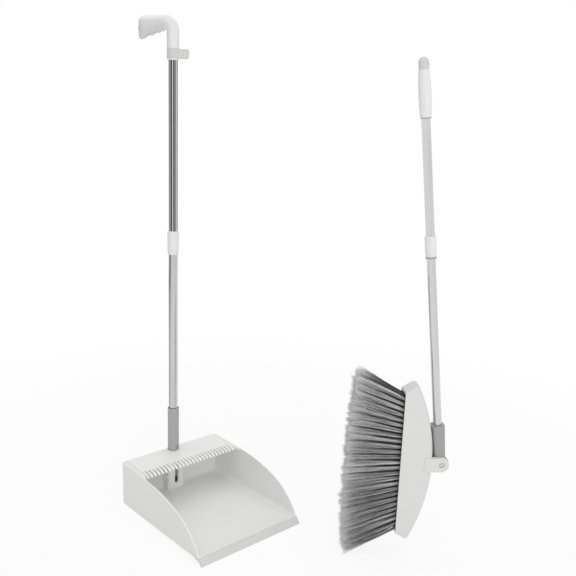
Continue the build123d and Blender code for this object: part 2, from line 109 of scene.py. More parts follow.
# Pale locks dry out towards the tip, and every filament at its very end: partly the flagged tips' own
# paleness, partly a painted highlight where the tips catch the light
DRY_LIT_POWER = 4.0
DRY_LIT_GAIN = 1.3
END_POWER = 9.0
END_GAIN = 0.45

# Filaments cling in locks: a lock's width and lean, and a filament's own share of the lean and of the shade
LOCK_SIZE = 1.7 * MM
LOCK_LEAN = 3.5
LOCK_DARKEST = 0.36
LOCK_PALEST = 0.64
OWN_LEAN = 0.5
OWN_SHADE = 0.3
# The turn between neighbouring filaments on a tuft's sunflower spiral
SPIRAL_TURN = math.pi * (3 - math.sqrt(5))
# A filament's points, sides and thinning, and its wave: radians along it, and from the darkest to the palest
STRAND_POINTS = 4
STRAND_SIDES = 3
TIP_THINNING = 0.7
WAVE_ALONG = 7.0
WAVE_SHIFT = 37.0
# Where the outer rows begin and end, in shares of the bed's width from its middle
OUTER_ROWS_START = 0.3
OUTER_ROWS_END = 0.48
# How far the lowest tips stay off the floor
FLOOR_CLEARANCE = 0.2 * MM

# The connector's thread: its foot, its points in a turn and the sides of its ridge
THREAD_BOTTOM = 27 * MM
THREAD_STEPS = 24
THREAD_SIDES = 6

# Painted shade at the foot of the connector's spigot: a black cylinder for the dark depth there
FOOT_SHADE_RADIUS = 8.9 * MM
FOOT_SHADE_HEIGHT = 14 * MM
FOOT_SHADE_MIDDLE = 21.5 * MM
FOOT_SHADE_STEPS = 48

# The dome on the head of the pivot bolt
DOME_RADIUS = 3.9 * MM
DOME_FLATNESS = 0.25
DOME_STEPS = 32
DOME_ROWS = 16

# Painted shade in the depth of the hanging slot: a dark oval plug set back from the handle's end
SLOT_HALF_WIDTH = 2.95 * MM
SLOT_STRETCH = 1.62
SLOT_SHADE_LENGTH = 6 * MM
SLOT_SHADE_DEPTH = 3.5 * MM
SLOT_STEPS = 32

# The slits round the connector's latch, drawn as dark bars of painted shade: their radii, and each one's two
# angles in degrees, bottom and top
SLIT_RADII = (11.6 * MM, 12.32 * MM)
SLITS = ((-104, -50, 103.4 * MM, 104.6 * MM), (-92, -66, 98.0 * MM, 99.2 * MM))
SLIT_STEPS = 12

# Dark rings of painted shade for the gaps at the mouths that the tubes go into
SHADE_RING_CLEARANCE = 0.02 * MM
SHADE_RING_STEPS = 48
SLEEVE_SHADE_RING_RADIUS = 10.1 * MM
SLEEVE_SHADE_RING_HEIGHT = 2.2 * MM
GRIP_SHADE_RING_RADIUS = 9.4 * MM
GRIP_SHADE_RING_HEIGHT = 1.8 * MM
CONNECTOR_SHADE_RING_RADIUS = 10.9 * MM
CONNECTOR_SHADE_RING_HEIGHT = 0.5 * MM

# The studio floor: its half width, and where its faint shadow lies, fades and ends
FLOOR_REACH = 6.0
SHADOW_MIDDLE = (0.1, -0.25, 0.0)
SHADOW_FADE_START = 0.45
SHADOW_FADE_END = 1.5
SHADOW_WHITE = 0.86
# The surround's light on the object, and the point that the lamps face
SURROUND_LIGHT = 0.5
LAMP_TARGET = Vector((0.08, -0.25, 0.3))

# Where each pole stands, and the direction from it to the camera in degrees
PAN_POLE = (0.0, 0.0, -122.4)
BROOM_POLE = (0.245, -0.497, -143.0)
# The studio cards' distance from their pole, and the bottom and top of those beside the pan's upper tube
CARD_DISTANCE = 0.35
CARD_STEPS = 24
UPPER_TUBE = (0.52, 1.0)

# The camera at the photograph's angle, rolled by two degrees, with its focal length in pixels of the frame
CAMERA_PLACE = Vector((-815.6, -1284.9, 831.0)) * MM
CAMERA_RIGHT = Vector((0.7530, -0.6570, 0.0357)).normalized()
CAMERA_FORWARD = Vector((0.6456, 0.7273, -0.2328)).normalized()
FOCAL_PIXELS = 730
FRAME_PIXELS = 576
SENSOR_WIDTH = 36


def linear(code):
    """An sRGB hex colour as linear RGBA."""
    parts = [int(code[i : i + 2], 16) / 255 for i in (0, 2, 4)]
    return tuple(c / 12.92 if c <= 0.04045 else ((c + 0.055) / 1.055) ** 2.4 for c in parts) + (1.0,)


def put(tree, kind, sockets=None, **settings):
    """Adds one node with its settings, and its input values or links."""
    node = tree.nodes.new(kind)
    for name, value in settings.items():
        setattr(node, name, value)
    for key, value in (sockets or {}).items():
        if isinstance(value, bpy.types.NodeSocket):
            tree.links.new(value, node.inputs[key])
        else:
            node.inputs[key].default_value = value
    return node


def blank_material(name):
    """A material with an empty tree; returns the material and its tree."""
    material = bpy.data.materials.new(name)
    material.use_nodes = True
    material.node_tree.nodes.clear()
    return material, material.node_tree


def painted_grip_shade(tree, place):
    """How far a point lies in the painted shade on the L-handle's grip: past the elbow, and under its
    rounded top.
    """
    along = put(
        tree, "ShaderNodeVectorMath", {0: place, 1: HANDLE_DIRECTION}, operation="DOT_PRODUCT"
    ).outputs["Value"]
    past = put(
        tree,
        "ShaderNodeMapRange",
        {"Value": along, "From Min": GRIP_SHADE_START, "From Max": GRIP_SHADE_FULL},
        interpolation_type="SMOOTHSTEP",
    ).outputs["Result"]
    slope = HANDLE_DIRECTION * GRIP_TOP_SLOPE + UPWARD
    height = put(
        tree, "ShaderNodeVectorMath", {0: place, 1: slope}, operation="DOT_PRODUCT"
    ).outputs["Value"]
    under = put(
        tree,
        "ShaderNodeMapRange",
        {"Value": height, "From Min": GRIP_SHADE_TOP_START, "From Max": GRIP_SHADE_TOP_FULL},
        interpolation_type="SMOOTHSTEP",
    ).outputs["Result"]
    return put(tree, "ShaderNodeMath", {0: past, 1: under}, operation="MULTIPLY").outputs[0]


def moulded_plastic(name, code, roughness, grain, mottle=0.02, height=GRAIN_HEIGHT, grip_shade_code=None):
    """Injection-moulded plastic: an even colour with a fine grain, and, where it has a grip, a greyer zone
    of painted shade.
    """
    material, tree = blank_material(name)
    place = put(tree, "ShaderNodeTexCoord").outputs["Object"]
    cloud = put(
        tree, "ShaderNodeTexNoise", {"Vector": place, "Scale": 1 / CLOUD_SIZE, "Detail": 3.0}
    ).outputs["Fac"]
    # The grain of a real mould is too fine to show, so it is drawn about a millimetre wide
    fine = put(
        tree, "ShaderNodeTexNoise", {"Vector": place, "Scale": 1 / grain, "Detail": 2.0}
    ).outputs["Fac"]
    base = linear(code)
    dark = tuple(c * (1 - mottle) for c in base[:3]) + (1.0,)
    colour = put(
        tree, "ShaderNodeMix", {"Factor": cloud, "A": dark, "B": base}, data_type="RGBA"
    ).outputs["Result"]
    # Painted shade: the colour turns greyer over the grip's zone
    if grip_shade_code:
        colour = put(
            tree,
            "ShaderNodeMix",
            {"Factor": painted_grip_shade(tree, place), "A": colour, "B": linear(grip_shade_code)},
            data_type="RGBA",
        ).outputs["Result"]
    gloss = put(
        tree,
        "ShaderNodeMapRange",
        {
            "Value": cloud,
            "From Min": CLOUD_LOW,
            "From Max": CLOUD_HIGH,
            "To Min": roughness - GLOSS_SWAY,
            "To Max": roughness + GLOSS_SWAY,
        },
    ).outputs["Result"]
    bumped = put(
        tree, "ShaderNodeBump", {"Height": fine, "Strength": GRAIN_STRENGTH, "Distance": height}
    ).outputs["Normal"]
    shader = put(
        tree,
        "ShaderNodeBsdfPrincipled",
        {"Base Color": colour, "Roughness": gloss, "Normal": bumped, "IOR": PLASTIC_IOR},
    ).outputs["BSDF"]
    put(tree, "ShaderNodeOutputMaterial", {"Surface": shader})
    return material


def drawn_steel(name, light, dark, roughness, line, contrast, axis=UPWARD):
    """Drawn and polished steel tube: long, narrow lines along the pole that catch the light unevenly."""
    material, tree = blank_material(name)
    place = put(tree, "ShaderNodeTexCoord").outputs["Object"]
    # The lines are about eighty times as long as they are wide, and wider than real ones so that they show
    height = put(tree, "ShaderNodeVectorMath", {0: place, 1: axis}, operation="DOT_PRODUCT").outputs["Value"]
    taken = put(tree, "ShaderNodeMath", {0: height, 1: -LINE_STRETCH}, operation="MULTIPLY").outputs[0]
    taken = put(tree, "ShaderNodeVectorMath", {0: axis, "Scale": taken}, operation="SCALE").outputs[0]
    stretched = put(tree, "ShaderNodeVectorMath", {0: place, 1: taken}, operation="ADD").outputs[0]
    lines = put(
        tree, "ShaderNodeTexNoise", {"Vector": stretched, "Scale": 1 / line, "Detail": 2.5, "Roughness": 0.6}
    ).outputs["Fac"]
    spread = put(
        tree,
        "ShaderNodeMapRange",
        {"Value": lines, "From Min": 0.5 - contrast, "From Max": 0.5 + contrast},
        interpolation_type="SMOOTHSTEP",
    ).outputs["Result"]
    colour = put(
        tree, "ShaderNodeMix", {"Factor": spread, "A": linear(dark), "B": linear(light)}, data_type="RGBA"
    ).outputs["Result"]
    gloss = put(
        tree,
        "ShaderNodeMapRange",
        {"Value": lines, "To Min": roughness * LINE_GLOSS_LOW, "To Max": roughness * LINE_GLOSS_HIGH},
    ).outputs["Result"]
    shader = put(
        tree, "ShaderNodeBsdfPrincipled", {"Base Color": colour, "Roughness": gloss, "Metallic": 1.0}
    ).outputs["BSDF"]
    put(tree, "ShaderNodeOutputMaterial", {"Surface": shader})
    return material


def bristle_fibre(name):
    """Grey polyester filament: painted shade where the tufts stand close, and paler, drier flagged tips with
    a painted highlight.
    """
    material, tree = blank_material(name)
    along = put(tree, "ShaderNodeAttribute", attribute_name="along").outputs["Fac"]
    tone = put(tree, "ShaderNodeAttribute", attribute_name="tone").outputs["Fac"]
    outward = put(tree, "ShaderNodeAttribute", attribute_name="outward").outputs["Fac"]
    # The ramp darkens the roots: painted shade where the tufts stand close
    ramp = put(tree, "ShaderNodeValToRGB", {"Fac": along})
    stops = ramp.color_ramp.elements
    stops[0].position = 0.0
    stops[0].color = linear(ROOT_SHADE)
    stops[1].position = 1.0
    stops[1].color = linear(TIP_SHADE)
    for position, code in MIDDLE_SHADES:
        stops.new(position).color = linear(code)
    lit = put(tree, "ShaderNodeMath", {0: along, 1: LIGHT_POWER}, operation="POWER").outputs[0]
    lit = put(tree, "ShaderNodeMath", {0: lit, 1: outward}, operation="ADD", use_clamp=True).outputs[0]
    lit = put(
        tree, "ShaderNodeMapRange", {"Value": lit, "To Min": SHADED_SHARE, "To Max": 1.0}
    ).outputs["Result"]
    # Painted highlight, with the flagged tips' own paleness: pale locks grow lighter towards the tip
    dry_lit_tip = put(tree, "ShaderNodeMath", {0: along, 1: DRY_LIT_POWER}, operation="POWER").outputs[0]
    dry_lit_tip = put(tree, "ShaderNodeMath", {0: dry_lit_tip, 1: tone}, operation="MULTIPLY").outputs[0]
    tone = put(
        tree, "ShaderNodeMath", {0: tone, 1: TONE_GAIN, 2: TONE_RAISE}, operation="MULTIPLY_ADD"
    ).outputs[0]
    tone = put(tree, "ShaderNodeMath", {0: tone, 1: lit}, operation="MULTIPLY").outputs[0]
    tone = put(tree, "ShaderNodeMath", {0: dry_lit_tip, 1: DRY_LIT_GAIN, 2: tone}, operation="MULTIPLY_ADD").outputs[0]
    ends = put(tree, "ShaderNodeMath", {0: along, 1: END_POWER}, operation="POWER").outputs[0]
    tone = put(
        tree, "ShaderNodeMath", {0: ends, 1: END_GAIN, 2: tone}, operation="MULTIPLY_ADD", use_clamp=True
    ).outputs[0]
    grey = put(
        tree,
        "ShaderNodeMix",
        {"Factor": tone, "A": linear(DARK_LOCK), "B": linear(PALE_LOCK)},
        data_type="RGBA",
    ).outputs["Result"]
    colour = put(
        tree,
        "ShaderNodeMix",
        {"Factor": 1.0, "A": ramp.outputs["Color"], "B": grey},
        data_type="RGBA",
        blend_type="MULTIPLY",
    ).outputs["Result"]
    shader = put(tree, "ShaderNodeBsdfPrincipled", {"Base Color": colour, "Roughness": 0.5}).outputs["BSDF"]
    put(tree, "ShaderNodeOutputMaterial", {"Surface": shader})
    return material


def zinc_plate(name):
    """Zinc-plated steel: a slightly blue, softly blurred metal."""
    material, tree = blank_material(name)
    shader = put(
        tree,
        "ShaderNodeBsdfPrincipled",
        {"Base Color": linear("CACCCE"), "Roughness": 0.22, "Metallic": 1.0},
    ).outputs["BSDF"]
    put(tree, "ShaderNodeOutputMaterial", {"Surface": shader})
    return material


# White polypropylene of the pan, moulded: bright, with a low sheen
white_polypropylene = moulded_plastic(
    "white moulded polypropylene", "EDEDEC", roughness=0.42, grain=0.9 * MM
)
# The hood, a moulding of its own, in a slightly brighter white: painted light on its lit top
lit_hood_polypropylene = moulded_plastic(
    "bright white moulded polypropylene", "F3F3F2", roughness=0.4, grain=0.9 * MM
)
# The same plastic in the broom's head, in a duller white: painted shade on the head
shaded_head_polypropylene = moulded_plastic(
    "white moulded polypropylene with painted shade", "E1E1E0", roughness=0.45, grain=0.9 * MM
)
# White ABS of the sleeves, the retainer and the broom's grip: smoother than the pan
white_abs = moulded_plastic(
    "white moulded ABS", "ECECEC", roughness=0.3, grain=1.2 * MM, height=FINE_GRAIN_HEIGHT
)
# The L-handle's ABS, with painted shade: a greyer zone on the grip, below its lighter top
grip_abs = moulded_plastic(
    "white moulded ABS with painted grip shade",
    "ECECEC",
    roughness=0.3,
    grain=1.2 * MM,
    height=FINE_GRAIN_HEIGHT,
    grip_shade_code="D2D2D2",
)
# Unpigmented polypropylene of the storage clip: a pale, milky grey
natural_polypropylene = moulded_plastic(
    "natural moulded polypropylene", "D7D7D6", roughness=0.38, grain=1.0 * MM
)
# Grey polypropylene of the connector and the joints' plugs: matte with a fine grain
grey_polypropylene = moulded_plastic(
    "grey moulded polypropylene", "AFAFAF", roughness=0.5, grain=0.7 * MM, mottle=0.05
)
# The knuckle's nylon: a shade darker
grey_nylon = moulded_plastic("grey moulded nylon", "A4A4A4", roughness=0.45, grain=0.7 * MM, mottle=0.05)
# The broom's end cap: a paler grey
pale_polypropylene = moulded_plastic(
    "pale grey moulded polypropylene", "D6D6D6", roughness=0.4, grain=0.8 * MM, mottle=0.04
)
# Dark grey plastic of the thread, and painted shade for the slits, recesses and gaps that hardly any light
# reaches
dark_grey_and_painted_shade = moulded_plastic(
    "dark grey polypropylene and painted shade", "4A4A4A", roughness=0.45, grain=0.7 * MM, mottle=0.05
)
# Soft vinyl of the wiper lip: duller and slightly darker than the pan
soft_vinyl = moulded_plastic("soft extruded vinyl", "D6D6D5", roughness=0.6, grain=0.8 * MM)
# Black, with almost no shine: painted shade for the dark depth at the connector's foot
black_painted_shade = moulded_plastic("black painted shade", "161616", roughness=0.7, grain=0.6 * MM)
# Polished tube above the pan's joint: sharp reflections
bright_tube = drawn_steel(
    "bright drawn steel tube", "DADADA", "CACACA", roughness=0.06, line=2.2 * MM, contrast=0.2
)
# Satin tube below the pan's joint: soft reflections
satin_tube = drawn_steel(
    "satin drawn steel tube", "D3D3D3", "BEBEBE", roughness=0.26, line=1.6 * MM, contrast=0.25
)
# Satin tubes of the broom, a little paler
broom_tube = drawn_steel(
    "satin drawn steel broom tube",
    "DCDCDC",
    "C6C6C6",
    roughness=0.26,
    line=1.6 * MM,
    contrast=0.25,
    axis=POLE_DIRECTION,
)
# Duller, darker steel of the narrow rings on the broom's tubes: painted shade for the gaps at the mouths of
# the sleeve and the grip
shade_ring_steel = drawn_steel(
    "painted shade steel ring",
    "ACACAC",
    "8E8E8E",
    roughness=0.3,
    line=1.6 * MM,
    contrast=0.25,
    axis=POLE_DIRECTION,
)
# Zinc plate of the pivot's bolt and nut: a cool, soft shine
plated_steel = zinc_plate("zinc-plated steel")
# Flagged polyester of the bristles: dark between the tufts, with dry, pale tips
filament = bristle_fibre("grey flagged polyester filament")

FINISHES = {
    white_polypropylene: ("pan_body",),
    lit_hood_polypropylene: ("comb_hood",),
    shaded_head_polypropylene: ("head_block",),
    white_abs: ("pan_pole_sleeve", "broom_pole_sleeve", "clip_retainer", "broom_grip"),
    grip_abs: ("l_handle",),
    natural_polypropylene: ("storage_clip",),
    grey_polypropylene: ("pole_connector", "pan_joint_plug", "broom_joint_plug"),
    grey_nylon: ("knuckle",),
    pale_polypropylene: ("end_cap",),
    soft_vinyl: ("lip_strip",),
    bright_tube: ("pan_upper_tube",),
    satin_tube: ("pan_lower_tube",),
    broom_tube: ("broom_lower_tube", "broom_upper_tube"),
    plated_steel: ("pivot_bolt", "pivot_nut"),
    filament: ("bristles",),
}
for finish, names in FINISHES.items():
    for name in names:
        cad_nodes[name].data.materials.clear()
        cad_nodes[name].data.materials.append(finish)


def framed(directions, middle):
    """The matrix that turns the three axes to these directions and takes the origin to a point."""
    matrix = Matrix(directions).transposed().to_4x4()
    matrix.translation = middle
    return matrix


def new_tree(name, sizes):
    """A Geometry Nodes tree with named inputs; sizes maps each name to its socket type."""
    tree = bpy.data.node_groups.new(name, "GeometryNodeTree")
    tree.interface.new_socket(name="Geometry", in_out="OUTPUT", socket_type="NodeSocketGeometry")
    for label, kind in sizes.items():
        tree.interface.new_socket(name=label, in_out="INPUT", socket_type=kind)
    return tree


def close_tree(tree, geometry, finish):
    """Ends a tree with its instances made real and its finish set."""
    real = put(tree, "GeometryNodeRealizeInstances", {"Geometry": geometry}).outputs["Geometry"]
    dressed = put(
        tree, "GeometryNodeSetMaterial", {"Geometry": real, "Material": finish}
    ).outputs["Geometry"]
    put(tree, "NodeGroupOutput", {"Geometry": dressed})


def grown(name, tree, values):
    """Runs a tree with these input values and returns its result as a plain mesh object."""
    carrier = bpy.data.objects.new(name + " carrier", bpy.data.meshes.new(name + " carrier"))
    bpy.context.scene.collection.objects.link(carrier)
    modifier = carrier.modifiers.new("grow", "NODES")
    modifier.node_group = tree
    for socket in tree.interface.items_tree:
        if socket.in_out == "INPUT":
            modifier[socket.identifier] = values[socket.name]
    evaluated = carrier.evaluated_get(bpy.context.evaluated_depsgraph_get())
    mesh = bpy.data.meshes.new_from_object(evaluated)
    carrier.modifiers.remove(modifier)
    bpy.data.objects.remove(carrier)
    piece = bpy.data.objects.new(name, mesh)
    bpy.context.scene.collection.objects.link(piece)
    return piece


def bristle_tree():
    """Tufts in staggered rows, each a round bundle of filaments that flare, wave and end unevenly."""
    number, whole = "NodeSocketFloat", "NodeSocketInt"
    tree = new_tree(
        "bristle tufts",
        {
            "Rows": whole,
            "Columns": whole,
            "Filaments": whole,
            "Bed Width": number,
            "Bed Length": number,
            "Tuft Radius": number,
            "Tuft Jitter": number,
            "Tuft Spread": number,
            "Tuft Unevenness": number,
            "Length": number,
            "End Shortening": number,
            "Lean": number,
            "Flare": number,
            "Row Flare": number,
            "Tip Scatter": number,
            "Wave": number,
            "Filament Radius": number,
            "Backing": "NodeSocketVector",
            "Seed": whole,
            "Finish": "NodeSocketMaterial",
        },
    )
    sizes = put(tree, "NodeGroupInput").outputs
    index = put(tree, "GeometryNodeInputIndex").outputs["Index"]
    place = put(tree, "GeometryNodeInputPosition").outputs["Position"]
    bed = put(
        tree,
        "GeometryNodeMeshGrid",
        {
            "Size X": sizes["Bed Width"],
            "Size Y": sizes["Bed Length"],
            "Vertices X": sizes["Rows"],
            "Vertices Y": sizes["Columns"],
        },
    ).outputs["Mesh"]
    # Every other row is moved half a pitch along the head, and each tuft stands a little astray
    row = put(tree, "ShaderNodeMath", {0: index, 1: sizes["Columns"]}, operation="DIVIDE").outputs[0]
    row = put(tree, "ShaderNodeMath", {0: row}, operation="FLOOR").outputs[0]
    odd = put(tree, "ShaderNodeMath", {0: row, 1: 2.0}, operation="MODULO").outputs[0]
    odd = put(tree, "ShaderNodeMath", {0: odd, 1: 0.5}, operation="SUBTRACT").outputs[0]
    pitch = put(
        tree, "ShaderNodeMath", {0: sizes["Bed Length"], 1: sizes["Columns"]}, operation="DIVIDE"
    ).outputs[0]
    shift = put(tree, "ShaderNodeMath", {0: odd, 1: pitch}, operation="MULTIPLY").outputs[0]
    shift = put(tree, "ShaderNodeMath", {0: shift, 1: 0.5}, operation="MULTIPLY").outputs[0]
    shift = put(tree, "ShaderNodeCombineXYZ", {"Y": shift}).outputs["Vector"]
    astray = put(
        tree,
        "FunctionNodeRandomValue",
        {0: (-1.0, -1.0, 0.0), 1: (1.0, 1.0, 0.0), "Seed": sizes["Seed"]},
        data_type="FLOAT_VECTOR",
    ).outputs[0]
    astray = put(
        tree, "ShaderNodeVectorMath", {0: astray, "Scale": sizes["Tuft Jitter"]}, operation="SCALE"
    ).outputs[0]
    shift = put(tree, "ShaderNodeVectorMath", {0: shift, 1: astray}, operation="ADD").outputs[0]
    bed = put(tree, "GeometryNodeSetPosition", {"Geometry": bed, "Offset": shift}).outputs["Geometry"]
    # Each tuft remembers its middle and its shade
    tuft_tone = put(
        tree, "FunctionNodeRandomValue", {2: 0.0, 3: 1.0, "Seed": sizes["Seed"]}, data_type="FLOAT"
    ).outputs[1]
    for label, value, kind in (("centre", place, "FLOAT_VECTOR"), ("tuft_tone", tuft_tone, "FLOAT")):
        bed = put(
            tree,
            "GeometryNodeStoreNamedAttribute",
            {"Geometry": bed, "Name": label, "Value": value},
            data_type=kind,
            domain="POINT",
        ).outputs["Geometry"]
    # One tuft: filament roots on a sunflower spiral
    part = put(tree, "ShaderNodeMath", {0: index, 1: sizes["Filaments"]}, operation="DIVIDE").outputs[0]
    part = put(tree, "ShaderNodeMath", {0: part}, operation="SQRT").outputs[0]
    radius = put(tree, "ShaderNodeMath", {0: part, 1: sizes["Tuft Radius"]}, operation="MULTIPLY").outputs[0]
    turn = put(tree, "ShaderNodeMath", {0: index, 1: SPIRAL_TURN}, operation="MULTIPLY").outputs[0]
    arm = put(tree, "ShaderNodeCombineXYZ", {"X": radius}).outputs["Vector"]
    spot = put(
        tree, "ShaderNodeVectorRotate", {"Vector": arm, "Angle": turn}, rotation_type="Z_AXIS"
    ).outputs["Vector"]
    tuft = put(tree, "GeometryNodePoints", {"Count": sizes["Filaments"], "Position": spot}).outputs["Points"]
    tufts = put(tree, "GeometryNodeInstanceOnPoints", {"Points": bed, "Instance": tuft}).outputs["Instances"]
    roots = put(tree, "GeometryNodeRealizeInstances", {"Geometry": tufts}).outputs["Geometry"]
    # Neighbours cling together in locks, which share a direction and a shade
    scatter = put(
        tree,
        "FunctionNodeRandomValue",
        {0: (-1.0, -1.0, -1.0), 1: (1.0, 1.0, 1.0), "Seed": sizes["Seed"]},
        data_type="FLOAT_VECTOR",
    ).outputs[0]
    scatter = put(
        tree, "ShaderNodeVectorMath", {0: scatter, "Scale": OWN_LEAN}, operation="SCALE"
    ).outputs[0]
    lock = put(tree, "ShaderNodeTexNoise", {"Vector": place, "Scale": 1 / LOCK_SIZE, "Detail": 0.0}).outputs
    lock_lean = put(
        tree, "ShaderNodeVectorMath", {0: lock["Color"], 1: (0.5, 0.5, 0.5)}, operation="SUBTRACT"
    ).outputs[0]
    lock_lean = put(
        tree, "ShaderNodeVectorMath", {0: lock_lean, "Scale": LOCK_LEAN}, operation="SCALE"
    ).outputs[0]
    scatter = put(tree, "ShaderNodeVectorMath", {0: scatter, 1: lock_lean}, operation="ADD").outputs[0]
    own_tone = put(
        tree, "FunctionNodeRandomValue", {2: 0.0, 3: 1.0, "Seed": sizes["Seed"]}, data_type="FLOAT"
    ).outputs[1]
    lock_tone = put(
        tree,
        "ShaderNodeMapRange",
        {"Value": lock["Fac"], "From Min": LOCK_DARKEST, "From Max": LOCK_PALEST},
    ).outputs["Result"]
    tone = put(
        tree, "ShaderNodeMix", {"Factor": OWN_SHADE, "A": lock_tone, "B": own_tone}, data_type="FLOAT"
    ).outputs[0]
    # Each filament remembers its root, its scatter at the tip and its shade
    for label, value, kind in (
        ("root", place, "FLOAT_VECTOR"),
        ("scatter", scatter, "FLOAT_VECTOR"),
        ("tone", tone, "FLOAT"),
    ):
        roots = put(
            tree,
            "GeometryNodeStoreNamedAttribute",
            {"Geometry": roots, "Name": label, "Value": value},
            data_type=kind,
            domain="POINT",
        ).outputs["Geometry"]
    # A strand stands on each root, and reads what its filament and its tuft remember
    line = put(tree, "GeometryNodeCurvePrimitiveLine", {"End": (0.0, 0.0, -1.0)}).outputs["Curve"]
    line = put(tree, "GeometryNodeResampleCurve", {"Curve": line, "Count": STRAND_POINTS}).outputs["Curve"]
    strands = put(
        tree, "GeometryNodeInstanceOnPoints", {"Points": roots, "Instance": line}
    ).outputs["Instances"]
    strands = put(tree, "GeometryNodeRealizeInstances", {"Geometry": strands}).outputs["Geometry"]
    along = put(tree, "GeometryNodeSplineParameter").outputs["Factor"]
    root, stray, centre = [
        put(
            tree, "GeometryNodeInputNamedAttribute", {"Name": label}, data_type="FLOAT_VECTOR"
        ).outputs["Attribute"]
        for label in ("root", "scatter", "centre")
    ]
    tone, tuft_tone = [
        put(tree, "GeometryNodeInputNamedAttribute", {"Name": label}, data_type="FLOAT").outputs["Attribute"]
        for label in ("tone", "tuft_tone")
    ]
    # The tip: each tuft flares along the head and across it, spreads, and is shorter towards the ends
    axes = put(tree, "ShaderNodeSeparateXYZ", {"Vector": centre}).outputs
    half = put(tree, "ShaderNodeMath", {0: sizes["Bed Length"], 1: 0.5}, operation="MULTIPLY").outputs[0]
    end = put(tree, "ShaderNodeMath", {0: axes["Y"], 1: half}, operation="DIVIDE").outputs[0]
    share = put(tree, "ShaderNodeMath", {0: end, 1: end}, operation="MULTIPLY").outputs[0]
    cut = put(
        tree, "ShaderNodeMath", {0: share, 1: sizes["End Shortening"]}, operation="MULTIPLY"
    ).outputs[0]
    cut = put(
        tree, "ShaderNodeMath", {0: end, 1: sizes["Lean"], 2: cut}, operation="MULTIPLY_ADD"
    ).outputs[0]
    cut = put(
        tree,
        "ShaderNodeMath",
        {0: tuft_tone, 1: sizes["Tuft Unevenness"], 2: cut},
        operation="MULTIPLY_ADD",
    ).outputs[0]
    reach = put(tree, "ShaderNodeMath", {0: cut, 1: sizes["Length"]}, operation="SUBTRACT").outputs[0]
    out_y = put(tree, "ShaderNodeMath", {0: axes["Y"], 1: sizes["Flare"]}, operation="MULTIPLY").outputs[0]
    out_x = put(
        tree, "ShaderNodeMath", {0: axes["X"], 1: sizes["Row Flare"]}, operation="MULTIPLY"
    ).outputs[0]
    tip = put(tree, "ShaderNodeCombineXYZ", {"X": out_x, "Y": out_y, "Z": reach}).outputs["Vector"]
    aside = put(tree, "ShaderNodeVectorMath", {0: root, 1: centre}, operation="SUBTRACT").outputs[0]
    aside = put(
        tree, "ShaderNodeVectorMath", {0: aside, "Scale": sizes["Tuft Spread"]}, operation="SCALE"
    ).outputs[0]
    tip = put(tree, "ShaderNodeVectorMath", {0: tip, 1: aside}, operation="ADD").outputs[0]
    stray = put(
        tree, "ShaderNodeVectorMath", {0: stray, "Scale": sizes["Tip Scatter"]}, operation="SCALE"
    ).outputs[0]
    tip = put(tree, "ShaderNodeVectorMath", {0: tip, 1: stray}, operation="ADD").outputs[0]
    path = put(tree, "ShaderNodeMix", {"Factor": along, 4: root, 5: tip}, data_type="VECTOR").outputs[1]
    # The wave: filaments lean to and fro, more towards the tip
    phase = put(tree, "ShaderNodeMath", {0: tone, 1: WAVE_SHIFT}, operation="MULTIPLY").outputs[0]
    phase = put(
        tree, "ShaderNodeMath", {0: along, 1: WAVE_ALONG, 2: phase}, operation="MULTIPLY_ADD"
    ).outputs[0]
    swing = put(tree, "ShaderNodeMath", {0: phase}, operation="SINE").outputs[0]
    swing = put(tree, "ShaderNodeMath", {0: swing, 1: along}, operation="MULTIPLY").outputs[0]
    swing = put(tree, "ShaderNodeMath", {0: swing, 1: sizes["Wave"]}, operation="MULTIPLY").outputs[0]
    lean = put(tree, "ShaderNodeCombineXYZ", {"X": swing, "Y": swing}).outputs["Vector"]
    path = put(tree, "ShaderNodeVectorMath", {0: path, 1: lean}, operation="ADD").outputs[0]
    strands = put(
        tree, "GeometryNodeSetPosition", {"Geometry": strands, "Position": path}
    ).outputs["Geometry"]
    # The outer rows stand in the light and the inner ones in their shade
    outward = put(tree, "ShaderNodeMath", {0: axes["X"]}, operation="ABSOLUTE").outputs[0]
    outward = put(tree, "ShaderNodeMath", {0: outward, 1: sizes["Bed Width"]}, operation="DIVIDE").outputs[0]
    outward = put(
        tree,
        "ShaderNodeMapRange",
        {"Value": outward, "From Min": OUTER_ROWS_START, "From Max": OUTER_ROWS_END},
    ).outputs["Result"]
    for label, value in (("along", along), ("outward", outward)):
        strands = put(
            tree,
            "GeometryNodeStoreNamedAttribute",
            {"Geometry": strands, "Name": label, "Value": value},
            data_type="FLOAT",
            domain="POINT",
        ).outputs["Geometry"]
    # Each strand gets a round section that thins towards the tip
    taper = put(
        tree, "ShaderNodeMath", {0: along, 1: -TIP_THINNING, 2: 1.0}, operation="MULTIPLY_ADD"
    ).outputs[0]
    section = put(
        tree,
        "GeometryNodeCurvePrimitiveCircle",
        {"Resolution": STRAND_SIDES, "Radius": sizes["Filament Radius"]},
    ).outputs["Curve"]
    strands = put(
        tree,
        "GeometryNodeCurveToMesh",
        {"Curve": strands, "Profile Curve": section, "Scale": taper, "Fill Caps": True},
    ).outputs["Mesh"]
    # The slice of backing that the tufts are set in; with none of the filaments' values it takes the darkest
    # colour, painted shade between the tufts
    thick = put(tree, "ShaderNodeSeparateXYZ", {"Vector": sizes["Backing"]}).outputs["Z"]
    thick = put(tree, "ShaderNodeMath", {0: thick, 1: 0.5}, operation="MULTIPLY").outputs[0]
    rise = put(tree, "ShaderNodeCombineXYZ", {"Z": thick}).outputs["Vector"]
    backing = put(tree, "GeometryNodeMeshCube", {"Size": sizes["Backing"]}).outputs["Mesh"]
    backing = put(tree, "GeometryNodeSetPosition", {"Geometry": backing, "Offset": rise}).outputs["Geometry"]
    joined = put(tree, "GeometryNodeJoinGeometry")
    tree.links.new(strands, joined.inputs[0])
    tree.links.new(backing, joined.inputs[0])
    close_tree(tree, joined.outputs[0], sizes["Finish"])
    return tree


